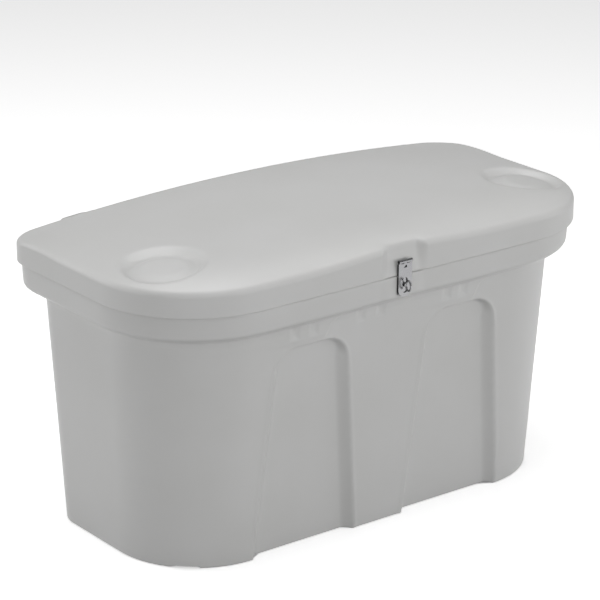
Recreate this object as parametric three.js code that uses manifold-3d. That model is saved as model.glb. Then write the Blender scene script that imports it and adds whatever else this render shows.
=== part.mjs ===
// A lidded storage chest for a dock or deck: a rotationally moulded polyethylene tub and lid, two
// stainless butt hinges along the back and a stainless swivel-eye hasp at the front.
// Millimetres, +Z up, +X along the length, the hasp on the -Y side. Origin: bottom centre.
import * as THREE from "three";
import { mergeVertices } from "three/addons/utils/BufferGeometryUtils.js";
import Module from "manifold-3d";

const wasm = await Module();
wasm.setup();

// ---------------------------------------------------------------- driving dimensions
const WALL = 7; // both mouldings
const GAP = 0.3; // between pieces that touch
const SLIVER = 0.06; // edges shorter than this are merged after the dishes are cut

// Tub: the wall leans out from the floor to the shoulder, where the rim flange steps out
const FLOOR_OUTLINE = { halfLength: 450, front: -187, rear: 190, frontRadius: 169, rearRadius: 55 };
const SHOULDER_OUTLINE = { halfLength: 472, front: -210, rear: 213, frontRadius: 180, rearRadius: 62 };
const RIM_OUTLINE = { halfLength: 505, front: -246, rear: 248, frontRadius: 206, rearRadius: 78 };
const FOOT_CHAMFER = 6;
const SHOULDER_Z = 436;
const FLANGE_BOTTOM_Z = 448;
const FLANGE_FACE_Z = 457; // the flange face is upright from here to the seam
const SEAM_Z = 491.5; // top of the rim, where the lid rests
const RIM_LEDGE = 16; // width of the ledge that the lid rests on
const LIP_HEIGHT = 12; // upright lip inside the ledge
const SEAL_WIDTH = 8;
const SEAL_HEIGHT = 7;

// Leg recesses in the front wall: tapered, open at the floor, mirrored about the middle
const LEG_DEPTH = 15.5;
const LEG_TOP_Z = 388;
const LEG_SHOULDER_Z = 362; // below this the recess has its full depth
const LEG_CORNER = 26; // how far the top corners are cut back
const LEG_OUTER = { floor: 280, top: 244 }; // |x| of the outer edge on the proud face
const LEG_INNER = { floor: 54, top: 92 };
const LEG_SIDE = 23; // run of the sloping side

// Lid
const LID_OUTLINE = { halfLength: 508, front: -250, rear: 250, frontRadius: 194, rearRadius: 65 };
const LID_BOTTOM_Z = SEAM_Z + GAP;
const SKIRT_TOP_Z = 533;
const LID_TOP_Z = 567; // crest of the crown
const CROWN_REACH = 30; // how far in from the edge the crown makes two thirds of its rise
const ARCH_HALF_WIDTH = 300; // the lid's long edges arch up over this distance each side of the middle
const ARCH_RISE = 9;

// Grip dishes in the lid, one near each end
const DISH_X = 385;
const DISH_Y = -62;
const DISH_HALF_LENGTH = 62;
const DISH_HALF_WIDTH = 84;
const DISH_DEPTH = 11;

// Latch face: an upright flat on the rim and the floor of a pocket in the lid's skirt, in one plane
const LATCH_FACE_Y = -247;
const LATCH_HALF_WIDTH = 33;
const LATCH_SIDE = 19;
const POCKET_TOP_DEPTH = 12;
const POCKET_FLOOR_TOP_Z = 521;

// Hinge pads: blocks moulded on the back of the rim and of the lid
const HINGE_X = 308;
const PAD_HALF_WIDTH = 72;
const PAD_SIDE = 8;
const PAD_FACE_Y = 269;
const PAD_TOP_Z = 537;

// Hinges
const HINGE_LENGTH = 100;
const HINGE_KNUCKLES = 5;
const HINGE_BARREL_RADIUS = 3.9;
const HINGE_PIN_RADIUS = 2.2;
const HINGE_LEAF = { thickness: 2, reach: 32, clear: 4.3 };
const HINGE_SCREW_PITCH = 36;
const HINGE_SCREW_LENGTH = 14;
const HASP_SCREW_LENGTH = 13.5;
const HINGE_SCREW_OFFSET = 20; // from the pin to the row of screws

// Hasp
const HASP_WIDTH = 30;
const HASP_PIN_Z = 517.7;
const HASP_BARREL_RADIUS = 3.2;
const HASP_PIN_RADIUS = 1.5;
const HASP_KNUCKLES = 5;
const HASP_PLATE = 1.9; // thickness of the fixed leaf and of the eye's base plate
const STRAP_THICKNESS = 1.8;
const STRAP_END_Z = 452;
const STRAP_END_RADIUS = 15;
const SLOT = { halfWidth: 5.5, bottom: 459.5, top: 488 };
const STRAP_WINDOW = { halfWidth: 3.2, bottom: 506, top: 510.5 };
const BASE_PLATE = { bottom: 457.5, top: 490 };
const LEAF_PLATE = { bottom: 493, top: 513.6 };
const EYE_Z = 474.5;
const EYE = { halfHeight: 11, halfReach: 8.5, wireRadius: 1.8, neckRadius: 4, shankRadius: 2.5 };
const WASHER = { radius: 6.4, bore: 2.9, thickness: 1.4 };

// Fasteners
const SCREW_RADIUS = 2;
const HOLE_RADIUS = 2.55;
const HEAD_RADIUS = 4;
const NUT_ACROSS_CORNERS = 8.1;
const NUT_THICKNESS = 3.2;

// ---------------------------------------------------------------- materials
const polyethylene = new THREE.MeshStandardMaterial({ color: 0xe9e8e3, roughness: 0.5, metalness: 0 });
const stainless = new THREE.MeshStandardMaterial({ color: 0xc9cacb, roughness: 0.25, metalness: 1 });
const foam = new THREE.MeshStandardMaterial({ color: 0x55534e, roughness: 0.9, metalness: 0 });

// ---------------------------------------------------------------- solids and booleans
function toSolid(geometry) {
  const plain = geometry.index ? geometry.toNonIndexed() : geometry.clone();
  plain.deleteAttribute("normal");
  plain.deleteAttribute("uv");
  const merged = mergeVertices(plain, 1e-4);
  return new wasm.Manifold(
    new wasm.Mesh({
      numProp: 3,
      vertProperties: new Float32Array(merged.attributes.position.array),
      triVerts: new Uint32Array(merged.index.array),
    }),
  );
}

// The same solid with the ends of every edge shorter than SLIVER made one point.
function withoutSlivers(solid) {
  const { vertProperties: p, triVerts: corners } = solid.getMesh();
  const kept = Array.from({ length: p.length / 3 }, (_, v) => v);
  const find = (v) => (kept[v] === v ? v : (kept[v] = find(kept[v])));
  const length = (a, b) => Math.hypot(...[0, 1, 2].map((axis) => p[3 * a + axis] - p[3 * b + axis]));
  for (let t = 0; t < corners.length; t += 3)
    for (let k = 0; k < 3; k++) {
      const [a, b] = [corners[t + k], corners[t + ((k + 1) % 3)]];
      if (length(a, b) < SLIVER) kept[find(a)] = find(b);
    }
  const index = [];
  for (let t = 0; t < corners.length; t += 3) {
    const [a, b, c] = [0, 1, 2].map((k) => find(corners[t + k]));
    if (a !== b && b !== c && c !== a) index.push(a, b, c);
  }
  const geometry = new THREE.BufferGeometry();
  geometry.setAttribute("position", new THREE.BufferAttribute(p, 3));
  geometry.setIndex(index);
  return toSolid(geometry);
}

function toGeometry(solid) {
  const mesh = solid.getMesh();
  const geometry = new THREE.BufferGeometry();
  geometry.setAttribute("position", new THREE.BufferAttribute(mesh.vertProperties, 3));
  geometry.setIndex(new THREE.BufferAttribute(mesh.triVerts, 1));
  geometry.computeVertexNormals();
  return geometry;
}

const box = (x0, x1, y0, y1, z0, z1) =>
  new THREE.BoxGeometry(x1 - x0, y1 - y0, z1 - z0).translate((x0 + x1) / 2, (y0 + y1) / 2, (z0 + z1) / 2);

// A cylinder along X or Y between two stations of that axis.
function rodX(radius, x0, x1, y, z, sides = 12) {
  const rod = new THREE.CylinderGeometry(radius, radius, x1 - x0, sides);
  return rod.rotateZ(Math.PI / 2).translate((x0 + x1) / 2, y, z);
}
function rodY(radius, y0, y1, x, z, sides = 8) {
  return new THREE.CylinderGeometry(radius, radius, y1 - y0, sides).translate(x, (y0 + y1) / 2, z);
}

// ---------------------------------------------------------------- lofted mouldings
const mix = (a, b, t) => a + (b - a) * t;
const blendOutline = (a, b, t) =>
  Object.fromEntries(Object.keys(a).map((key) => [key, mix(a[key], b[key], t)]));
const insetOutline = (o, d) => ({
  halfLength: o.halfLength - d,
  front: o.front + d,
  rear: o.rear - d,
  frontRadius: Math.max(o.frontRadius - d, 8),
  rearRadius: Math.max(o.rearRadius - d, 8),
});

// The points of a rounded rectangle, counter-clockwise from above, starting on the front face.
// frontColumns and rearColumns are the x positions of the points along the straight sides.
function outlinePoints(o, frontColumns, rearColumns) {
  const points = frontColumns.map((x) => [x, o.front]);
  const arc = (cx, cy, radius, from, steps) => {
    for (let i = 0; i <= steps; i++) {
      const angle = from + (Math.PI / 2) * (i / steps);
      points.push([cx + radius * Math.cos(angle), cy + radius * Math.sin(angle)]);
    }
  };
  const frontX = o.halfLength - o.frontRadius;
  const rearX = o.halfLength - o.rearRadius;
  arc(frontX, o.front + o.frontRadius, o.frontRadius, -Math.PI / 2, 10);
  arc(rearX, o.rear - o.rearRadius, o.rearRadius, 0, 6);
  rearColumns.forEach((x) => points.push([-x, o.rear]));
  arc(-rearX, o.rear - o.rearRadius, o.rearRadius, Math.PI / 2, 6);
  arc(-frontX, o.front + o.frontRadius, o.frontRadius, Math.PI, 10);
  return points;
}

// A closed solid through rings of equal length; the first ring is capped facing down, the last facing up.
function loft(rings) {
  const count = rings[0].length;
  const positions = rings.flat(2);
  const index = [];
  for (let i = 0; i + 1 < rings.length; i++)
    for (let j = 0; j < count; j++) {
      const a = i * count + j;
      const b = i * count + ((j + 1) % count);
      index.push(a, b, b + count, a, b + count, a + count);
    }
  const addCap = (ring, first, facingUp) => {
    const centre = positions.length / 3;
    const mean = (axis) => ring.reduce((sum, p) => sum + p[axis], 0) / count;
    positions.push(0, mean(1), facingUp ? Math.max(...ring.map((p) => p[2])) : mean(2));
    for (let j = 0; j < count; j++) {
      const here = first + j;
      const next = first + ((j + 1) % count);
      index.push(centre, facingUp ? here : next, facingUp ? next : here);
    }
  };
  addCap(rings[0], 0, false);
  addCap(rings.at(-1), (rings.length - 1) * count, true);
  const geometry = new THREE.BufferGeometry();
  geometry.setAttribute("position", new THREE.Float32BufferAttribute(positions, 3));
  geometry.setIndex(index);
  return geometry;
}

const mirrored = (values) => [...values.map((v) => -v).reverse(), ...values];
const ramp = (value, from, to) => Math.min(Math.max((value - from) / (to - from), 0), 1);

// How far a point at x lies on a hinge pad, from 0 beside it to 1 on its face.
const onPad = (x) => ramp(PAD_HALF_WIDTH - Math.abs(Math.abs(x) - HINGE_X), 0, PAD_SIDE);
// How far a point at x lies on the latch flat.
const onLatch = (x) => ramp(LATCH_HALF_WIDTH + LATCH_SIDE - Math.abs(x), 0, LATCH_SIDE);
const PAD_COLUMNS = mirrored([
  HINGE_X - PAD_HALF_WIDTH,
  HINGE_X - PAD_HALF_WIDTH + PAD_SIDE,
  HINGE_X + PAD_HALF_WIDTH - PAD_SIDE,
  HINGE_X + PAD_HALF_WIDTH,
]);

// The leg recess edges at height z, and how deep a point of the front wall is set back there.
function legColumns(z) {
  const t = Math.min(z / LEG_SHOULDER_Z, 1);
  const cut = LEG_CORNER * ramp(z, LEG_SHOULDER_Z, LEG_TOP_Z);
  const inner = mix(LEG_INNER.floor, LEG_INNER.top, t) + cut;
  const outer = mix(LEG_OUTER.floor, LEG_OUTER.top, t) - cut;
  return [inner, inner + LEG_SIDE, outer - LEG_SIDE, outer];
}
const legDepth = (column, z) =>
  (column === 1 || column === 2 ? LEG_DEPTH : 0) * (1 - ramp(z, LEG_SHOULDER_Z, LEG_TOP_Z));

// One ring of the tub. height sets the leg recesses, pad and latch say how much of each feature it takes.
function tubRing(outline, z, { height = z, legs = true, pad = 0, latch = null } = {}) {
  const legXs = legColumns(height);
  const front = mirrored([LATCH_HALF_WIDTH, LATCH_HALF_WIDTH + LATCH_SIDE, ...legXs]);
  const count = front.length;
  return outlinePoints(outline, front, PAD_COLUMNS).map(([x, y], j) => {
    let moved = y;
    if (j < count) {
      const fromMiddle = j < count / 2 ? count / 2 - 1 - j : j - count / 2;
      if (legs) moved += legDepth(fromMiddle - 2, height);
      if (latch !== null) moved = mix(moved, latch, onLatch(x));
    } else if (y === outline.rear) moved += pad * onPad(x);
    return [x, moved, z];
  });
}

function tubGeometry() {
  const wallAt = (z) => blendOutline(FLOOR_OUTLINE, SHOULDER_OUTLINE, z / SHOULDER_Z);
  const padReach = PAD_FACE_Y - RIM_OUTLINE.rear;
  const flange = insetOutline(RIM_OUTLINE, 1.5);
  const underFlange = insetOutline(RIM_OUTLINE, 6);
  const legLevels = [LEG_SHOULDER_Z, LEG_TOP_Z];
  const rings = [];
  // Outside, from the floor up to the rim
  rings.push(tubRing(insetOutline(FLOOR_OUTLINE, FOOT_CHAMFER), 0));
  rings.push(tubRing(wallAt(FOOT_CHAMFER), FOOT_CHAMFER));
  legLevels.forEach((z) => rings.push(tubRing(wallAt(z), z)));
  rings.push(tubRing(SHOULDER_OUTLINE, SHOULDER_Z));
  rings.push(tubRing(underFlange, FLANGE_BOTTOM_Z, { pad: padReach + 4, latch: LATCH_FACE_Y + 2 }));
  rings.push(tubRing(flange, FLANGE_FACE_Z, { pad: padReach + 1.5, latch: LATCH_FACE_Y }));
  rings.push(tubRing(RIM_OUTLINE, SEAM_Z - 1.5, { pad: padReach, latch: LATCH_FACE_Y }));
  rings.push(tubRing(insetOutline(RIM_OUTLINE, 1.5), SEAM_Z, { pad: padReach, latch: LATCH_FACE_Y + 1.5 }));
  // The ledge and the lip
  const lipTop = SEAM_Z + LIP_HEIGHT;
  rings.push(tubRing(insetOutline(RIM_OUTLINE, RIM_LEDGE), SEAM_Z));
  rings.push(tubRing(insetOutline(RIM_OUTLINE, RIM_LEDGE + 0.5), lipTop));
  rings.push(tubRing(insetOutline(RIM_OUTLINE, RIM_LEDGE + WALL), lipTop));
  rings.push(tubRing(insetOutline(RIM_OUTLINE, RIM_LEDGE + WALL), SEAM_Z - WALL));
  // Inside, down the hollow of the flange and the wall
  const innerLatch = LATCH_FACE_Y + WALL;
  const hollowTop = insetOutline(RIM_OUTLINE, WALL + 1);
  rings.push(tubRing(hollowTop, SEAM_Z - WALL, { pad: padReach + 1, latch: innerLatch }));
  const hollowFoot = insetOutline(flange, WALL);
  rings.push(tubRing(hollowFoot, FLANGE_FACE_Z + 3, { pad: padReach + 1.5, latch: innerLatch }));
  rings.push(tubRing(insetOutline(SHOULDER_OUTLINE, WALL), SHOULDER_Z + WALL + 1));
  for (const z of legLevels.reverse())
    rings.push(tubRing(insetOutline(wallAt(z), WALL), z + 2, { height: z }));
  rings.push(tubRing(insetOutline(wallAt(WALL), WALL), WALL + FOOT_CHAMFER, { height: FOOT_CHAMFER }));
  rings.push(tubRing(insetOutline(FLOOR_OUTLINE, WALL + FOOT_CHAMFER), WALL, { height: 0 }));
  return loft(rings);
}

// Height of the lid's top skin: a rounded edge that settles into a low crown, arched along the length.
function lidTop(x, inset) {
  const arch = (Math.cos(Math.PI * Math.min(Math.abs(x) / ARCH_HALF_WIDTH, 1)) + 1) / 2;
  const crown = 1 - Math.exp(-inset / CROWN_REACH);
  return SKIRT_TOP_Z + ARCH_RISE * arch + (LID_TOP_Z - SKIRT_TOP_Z - ARCH_RISE) * crown;
}

const LID_COLUMNS = mirrored([LATCH_HALF_WIDTH, LATCH_HALF_WIDTH + LATCH_SIDE, 110, 180, 250]);
const LID_REAR_COLUMNS = mirrored([90, 170, ...PAD_COLUMNS.slice(4)]);
const LID_REAR_STRAIGHT = 395; // a ring with a shorter straight rear side has its columns drawn in

// One ring of the lid: z is a height or a function of x, pad and pocket say how far each feature reaches.
function lidRing(outline, z, { pad = 0, pocket = 0, padZ = null } = {}) {
  const count = LID_COLUMNS.length;
  const drawnIn = Math.min(1, (outline.halfLength - outline.rearRadius) / LID_REAR_STRAIGHT);
  const rearColumns = LID_REAR_COLUMNS.map((x) => x * drawnIn);
  return outlinePoints(outline, LID_COLUMNS, rearColumns).map(([x, y], j) => {
    const height = typeof z === "function" ? z(x) : z;
    if (j < count) return [x, y + pocket * onLatch(x), height];
    if (y !== outline.rear) return [x, y, height];
    const share = onPad(x);
    return [x, y + pad * share, padZ === null ? height : mix(height, padZ, share)];
  });
}

function lidGeometry() {
  const padReach = PAD_FACE_Y - LID_OUTLINE.rear;
  const pocket = LATCH_FACE_Y - LID_OUTLINE.front;
  const inner = insetOutline(LID_OUTLINE, WALL);
  const rings = [];
  const topRing = (inset, drop, features) =>
    rings.push(lidRing(insetOutline(LID_OUTLINE, inset), (x) => lidTop(x, inset) - drop, features));
  // Underside of the top, from the middle outwards, then the inside of the skirt
  topRing(235, WALL);
  topRing(150, WALL);
  topRing(80, WALL);
  topRing(40, WALL);
  topRing(22, WALL, { pad: 8, pocket: 4 });
  const shoulder = insetOutline(LID_OUTLINE, WALL + 3);
  rings.push(lidRing(shoulder, SKIRT_TOP_Z - 4, { pad: padReach + 3, pocket: 7 }));
  rings.push(lidRing(inner, POCKET_FLOOR_TOP_Z, { pad: padReach, pocket }));
  rings.push(lidRing(inner, LID_BOTTOM_Z, { pad: padReach, pocket }));
  // Outside of the skirt, then the top back to the middle
  const lowerEdge = insetOutline(LID_OUTLINE, 2);
  rings.push(lidRing(lowerEdge, LID_BOTTOM_Z, { pad: padReach + 2, pocket: pocket - 2 }));
  rings.push(lidRing(LID_OUTLINE, LID_BOTTOM_Z + 4, { pad: padReach, pocket }));
  rings.push(lidRing(LID_OUTLINE, POCKET_FLOOR_TOP_Z, { pad: padReach, pocket }));
  rings.push(
    lidRing(insetOutline(LID_OUTLINE, 1.5), (x) => lidTop(x, 0) - 3, {
      pad: padReach + 1.5,
      padZ: PAD_TOP_Z - 3,
      pocket: POCKET_TOP_DEPTH - 4,
    }),
  );
  topRing(6, 0, { pad: padReach + 3, padZ: PAD_TOP_Z, pocket: POCKET_TOP_DEPTH - 2 });
  topRing(20, 0, { pad: 6, pocket: 3 });
  topRing(40, 0);
  topRing(80, 0);
  topRing(150, 0);
  topRing(235, 0);
  return loft(rings);
}

// A round dish tool, scaled to the grip dish's oval: profile is a list of [radius share, z].
function dishTool(side, profile) {
  const points = profile.map(([share, z]) => new THREE.Vector2(share, z));
  const tool = new THREE.LatheGeometry(points, 28).rotateX(Math.PI / 2);
  return toSolid(tool.scale(DISH_HALF_LENGTH, DISH_HALF_WIDTH, 1).translate(side * DISH_X, DISH_Y, 0));
}

function screwHoles(spots) {
  return spots.map(({ x, y, z }) => toSolid(rodY(HOLE_RADIUS, y - 15, y + 15, x, z)));
}

const hingeSpots = (z) =>
  [-1, 1].flatMap((side) =>
    [-1, 0, 1].map((k) => ({ x: side * HINGE_X + k * HINGE_SCREW_PITCH, y: PAD_FACE_Y, z })),
  );
const HINGE_AXIS = {
  y: PAD_FACE_Y + GAP + HINGE_BARREL_RADIUS,
  z: SEAM_Z + GAP / 2,
};
const leafSpots = [-9, 9].map((x) => ({ x, y: LATCH_FACE_Y, z: 503 }));
const plateSpots = [466, 480].flatMap((z) => [-10.5, 10.5].map((x) => ({ x, y: LATCH_FACE_Y, z })));

function makeTub() {
  const holes = [...hingeSpots(HINGE_AXIS.z - HINGE_SCREW_OFFSET), ...plateSpots];
  let tub = toSolid(tubGeometry());
  screwHoles(holes).forEach((hole) => (tub = tub.subtract(hole)));
  return tub.subtract(toSolid(rodY(WASHER.radius + 1, LATCH_FACE_Y - 5, LATCH_FACE_Y + 15, 0, EYE_Z, 16)));
}

function makeLid() {
  const skin = lidTop(DISH_X, 150);
  const floor = skin - DISH_DEPTH;
  let lid = toSolid(lidGeometry());
  for (const side of [-1, 1]) {
    const top = skin - 4;
    const under = [[0, floor - WALL], [0.72, floor - WALL], [1.1, skin - WALL + 2], [1.1, top], [0, top]];
    const cut = [[0, floor], [0.62, floor], [1, skin - 1], [1.2, skin + 8], [0, skin + 8]];
    lid = lid.add(dishTool(side, under)).subtract(dishTool(side, cut));
  }
  const holes = [...hingeSpots(HINGE_AXIS.z + HINGE_SCREW_OFFSET), ...leafSpots];
  screwHoles(holes).forEach((hole) => (lid = lid.subtract(hole)));
  return withoutSlivers(lid.simplify(SLIVER / 2));
}

// ---------------------------------------------------------------- rim seal
// A foam strip on the ledge, around the lip.
function makeRimSeal() {
  const outer = insetOutline(RIM_OUTLINE, RIM_LEDGE - SEAL_WIDTH);
  const inner = insetOutline(RIM_OUTLINE, RIM_LEDGE - GAP);
  const corners = (outline) => outlinePoints(outline, [], []).map(([x, y]) => new THREE.Vector2(x, y));
  const shape = (outline) => new THREE.Shape(corners(outline));
  const ring = shape(outer);
  ring.holes.push(new THREE.Path(shape(inner).getPoints()));
  const strip = new THREE.ExtrudeGeometry(ring, { depth: SEAL_HEIGHT, bevelEnabled: false });
  return strip.translate(0, 0, SEAM_Z + GAP);
}

// ---------------------------------------------------------------- knuckled leaves
// The stretches along X of every second knuckle, starting with the first or the second.
function knuckleStretches(length, knuckles, first) {
  const pitch = length / knuckles;
  const stretches = [];
  for (let k = first; k < knuckles; k += 2) {
    const start = -length / 2 + k * pitch;
    stretches.push([start + GAP / 2, start + pitch - GAP / 2]);
  }
  return stretches;
}

// A leaf: plate, one tang and barrel piece per stretch, bored for the pin. y0 and y1 are the plate's faces.
function knuckledLeaf({ plate, y0, y1, stretches, axis, barrel, pin }) {
  let leaf = plate;
  const plateEdge = axis.side > 0 ? axis.z + axis.clear : axis.z - axis.clear;
  for (const [x0, x1] of stretches) {
    const low = Math.min(axis.z, plateEdge + axis.side);
    const high = Math.max(axis.z, plateEdge + axis.side);
    leaf = leaf.add(toSolid(box(x0, x1, y0, y1, low, high)));
    leaf = leaf.add(toSolid(rodX(barrel, x0, x1, axis.y, axis.z, 16)));
  }
  const end = stretches.at(-1)[1] + 50;
  return leaf.subtract(toSolid(rodX(pin + GAP + 0.1, -end, end, axis.y, axis.z, 16)));
}

// side is +1 for the leaf above the pin, on the lid, and -1 for the one below it, on the rim.
function makeHingeLeaf(side) {
  const { thickness, reach, clear } = HINGE_LEAF;
  const y0 = PAD_FACE_Y + GAP;
  const y1 = y0 + thickness;
  const zs = [HINGE_AXIS.z + side * clear, HINGE_AXIS.z + side * reach].sort((a, b) => a - b);
  let plate = toSolid(box(-HINGE_LENGTH / 2, HINGE_LENGTH / 2, y0, y1, zs[0], zs[1]));
  for (const k of [-1, 0, 1]) {
    const z = HINGE_AXIS.z + side * HINGE_SCREW_OFFSET;
    plate = plate.subtract(toSolid(rodY(HOLE_RADIUS, y0 - 5, y1 + 5, k * HINGE_SCREW_PITCH, z)));
  }
  return knuckledLeaf({
    plate,
    y0,
    y1,
    stretches: knuckleStretches(HINGE_LENGTH, HINGE_KNUCKLES, side > 0 ? 1 : 0),
    axis: { ...HINGE_AXIS, side, clear },
    barrel: HINGE_BARREL_RADIUS,
    pin: HINGE_PIN_RADIUS,
  });
}

// ---------------------------------------------------------------- hasp
const PLATE_BACK_Y = LATCH_FACE_Y - GAP;
const PLATE_FACE_Y = PLATE_BACK_Y - HASP_PLATE;
const STRAP_BACK_Y = PLATE_FACE_Y - GAP;
const STRAP_FACE_Y = STRAP_BACK_Y - STRAP_THICKNESS;
const HASP_AXIS = { y: PLATE_BACK_Y - HASP_BARREL_RADIUS, z: HASP_PIN_Z, side: -1, clear: 3.7 };

function countersinks(solid, spots) {
  let cut = solid;
  for (const { x, z } of spots) {
    const cone = new THREE.CylinderGeometry(HOLE_RADIUS, HEAD_RADIUS + 0.4, HASP_PLATE + 0.4, 12);
    cut = cut.subtract(toSolid(cone.translate(x, (PLATE_BACK_Y + PLATE_FACE_Y) / 2, z)));
  }
  return cut;
}

function makeHaspLeaf() {
  const half = HASP_WIDTH / 2;
  const blank = toSolid(box(-half, half, PLATE_FACE_Y, PLATE_BACK_Y, LEAF_PLATE.bottom, LEAF_PLATE.top));
  return knuckledLeaf({
    plate: countersinks(blank, leafSpots),
    y0: PLATE_FACE_Y,
    y1: PLATE_BACK_Y,
    stretches: knuckleStretches(HASP_WIDTH, HASP_KNUCKLES, 1),
    axis: HASP_AXIS,
    barrel: HASP_BARREL_RADIUS,
    pin: HASP_PIN_RADIUS,
  });
}

function makeStrap() {
  const half = HASP_WIDTH / 2;
  const arcCentre = STRAP_END_Z + STRAP_END_RADIUS;
  const outline = new THREE.Shape();
  outline.moveTo(half, LEAF_PLATE.top);
  outline.lineTo(-half, LEAF_PLATE.top);
  outline.lineTo(-half, arcCentre);
  outline.absarc(0, arcCentre, STRAP_END_RADIUS, Math.PI, 2 * Math.PI, false);
  const slot = new THREE.Path();
  slot.moveTo(SLOT.halfWidth, SLOT.top - SLOT.halfWidth);
  slot.absarc(0, SLOT.top - SLOT.halfWidth, SLOT.halfWidth, 0, Math.PI, false);
  slot.absarc(0, SLOT.bottom + SLOT.halfWidth, SLOT.halfWidth, Math.PI, 2 * Math.PI, false);
  const hatch = STRAP_WINDOW;
  const window = new THREE.Path([
    new THREE.Vector2(-hatch.halfWidth, hatch.bottom),
    new THREE.Vector2(hatch.halfWidth, hatch.bottom),
    new THREE.Vector2(hatch.halfWidth, hatch.top),
    new THREE.Vector2(-hatch.halfWidth, hatch.top),
  ]);
  outline.holes.push(slot, window);
  const blank = new THREE.ExtrudeGeometry(outline, {
    depth: STRAP_THICKNESS,
    bevelEnabled: false,
    curveSegments: 8,
  });
  // The outline is drawn in X and Z, and its thickness runs from the back face to the front.
  const plate = toSolid(blank.rotateX(Math.PI / 2).translate(0, STRAP_BACK_Y, 0));
  return knuckledLeaf({
    plate,
    y0: STRAP_FACE_Y,
    y1: STRAP_BACK_Y,
    stretches: knuckleStretches(HASP_WIDTH, HASP_KNUCKLES, 0),
    axis: HASP_AXIS,
    barrel: HASP_BARREL_RADIUS,
    pin: HASP_PIN_RADIUS,
  });
}

function makeBasePlate() {
  const half = HASP_WIDTH / 2;
  const blank = toSolid(box(-half, half, PLATE_FACE_Y, PLATE_BACK_Y, BASE_PLATE.bottom, BASE_PLATE.top));
  const bore = toSolid(rodY(EYE.shankRadius + 0.5, PLATE_FACE_Y - 5, PLATE_BACK_Y + 5, 0, EYE_Z, 12));
  return countersinks(blank, plateSpots).subtract(bore);
}

// The padlock eye: an oval loop standing out from the strap on a neck, with a shank riveted over inside.
function makeEye() {
  const centreY = STRAP_FACE_Y - 0.5 - EYE.halfReach;
  const loopPath = new THREE.CatmullRomCurve3(
    Array.from({ length: 16 }, (_, k) => {
      const angle = (2 * Math.PI * k) / 16;
      const reach = (EYE.halfReach - EYE.wireRadius) * Math.cos(angle);
      const height = (EYE.halfHeight - EYE.wireRadius) * Math.sin(angle);
      return new THREE.Vector3(0, centreY + reach, EYE_Z + height);
    }),
    true,
  );
  const wire = new THREE.Shape().absarc(0, 0, EYE.wireRadius, 0, 2 * Math.PI, false);
  const bend = { steps: 20, curveSegments: 4, bevelEnabled: false, extrudePath: loopPath };
  const loop = toSolid(new THREE.ExtrudeGeometry(wire, bend));
  const washerBack = PLATE_BACK_Y + GAP + WASHER.thickness;
  const neck = toSolid(rodY(EYE.neckRadius, centreY + 5.6, PLATE_FACE_Y - GAP, 0, EYE_Z, 16));
  const shank = toSolid(rodY(EYE.shankRadius, centreY + 7, washerBack + GAP + 1, 0, EYE_Z, 12));
  const head = toSolid(rodY(EYE.neckRadius, washerBack + GAP, washerBack + GAP + 1.6, 0, EYE_Z, 12));
  return loop.add(neck).add(shank).add(head);
}

function makeEyeWasher() {
  const y0 = PLATE_BACK_Y + GAP;
  const disc = toSolid(rodY(WASHER.radius, y0, y0 + WASHER.thickness, 0, EYE_Z, 16));
  return disc.subtract(toSolid(rodY(WASHER.bore, y0 - 1, y0 + 5, 0, EYE_Z, 12)));
}

// ---------------------------------------------------------------- fasteners
// Profiles are [radius, distance along the screw from the underside of its head or nut side].
function turned(profile, sides) {
  return new THREE.LatheGeometry(profile.map(([r, y]) => new THREE.Vector2(r, y)), sides);
}

// A screw along Y; direction +1 points its tip to +Y. y is the face that the head bears on.
function panScrew(y, direction, length) {
  const profile = [[0, length], [SCREW_RADIUS, length - 0.5], [SCREW_RADIUS, 0], [HEAD_RADIUS, 0]];
  profile.push([HEAD_RADIUS, -1.4], [HEAD_RADIUS * 0.6, -2.4], [0, -2.5]);
  const screw = turned(profile.reverse(), 10);
  if (direction < 0) screw.rotateX(Math.PI);
  return screw.translate(0, y, 0);
}
function flatScrew(y, length) {
  const sink = HASP_PLATE - 0.3;
  const head = [[0, 0.15], [HEAD_RADIUS - 0.2, 0.15]];
  const profile = [...head, [SCREW_RADIUS, sink], [SCREW_RADIUS, length], [0, length]];
  return turned(profile, 10).translate(0, y, 0);
}

// A hexagon nut against the face at y, standing to the side that direction gives.
function makeNut(y, direction) {
  const start = y + direction * GAP;
  const end = start + direction * NUT_THICKNESS;
  const [y0, y1] = [start, end].sort((a, b) => a - b);
  const blank = toSolid(rodY(NUT_ACROSS_CORNERS / 2, y0, y1, 0, 0, 6));
  return blank.subtract(toSolid(rodY(SCREW_RADIUS + GAP + 0.1, y0 - 1, y1 + 1, 0, 0, 8)));
}

// ---------------------------------------------------------------- assembly
const chest = new THREE.Group();

function addMesh(parent, name, shape, material) {
  const geometry = shape.isBufferGeometry ? shape : toGeometry(shape);
  const mesh = new THREE.Mesh(geometry, material);
  mesh.name = name;
  parent.add(mesh);
  return mesh;
}

addMesh(chest, "tub", makeTub(), polyethylene);
addMesh(chest, "lid", makeLid(), polyethylene);
addMesh(chest, "rim_seal", makeRimSeal(), foam);

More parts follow.
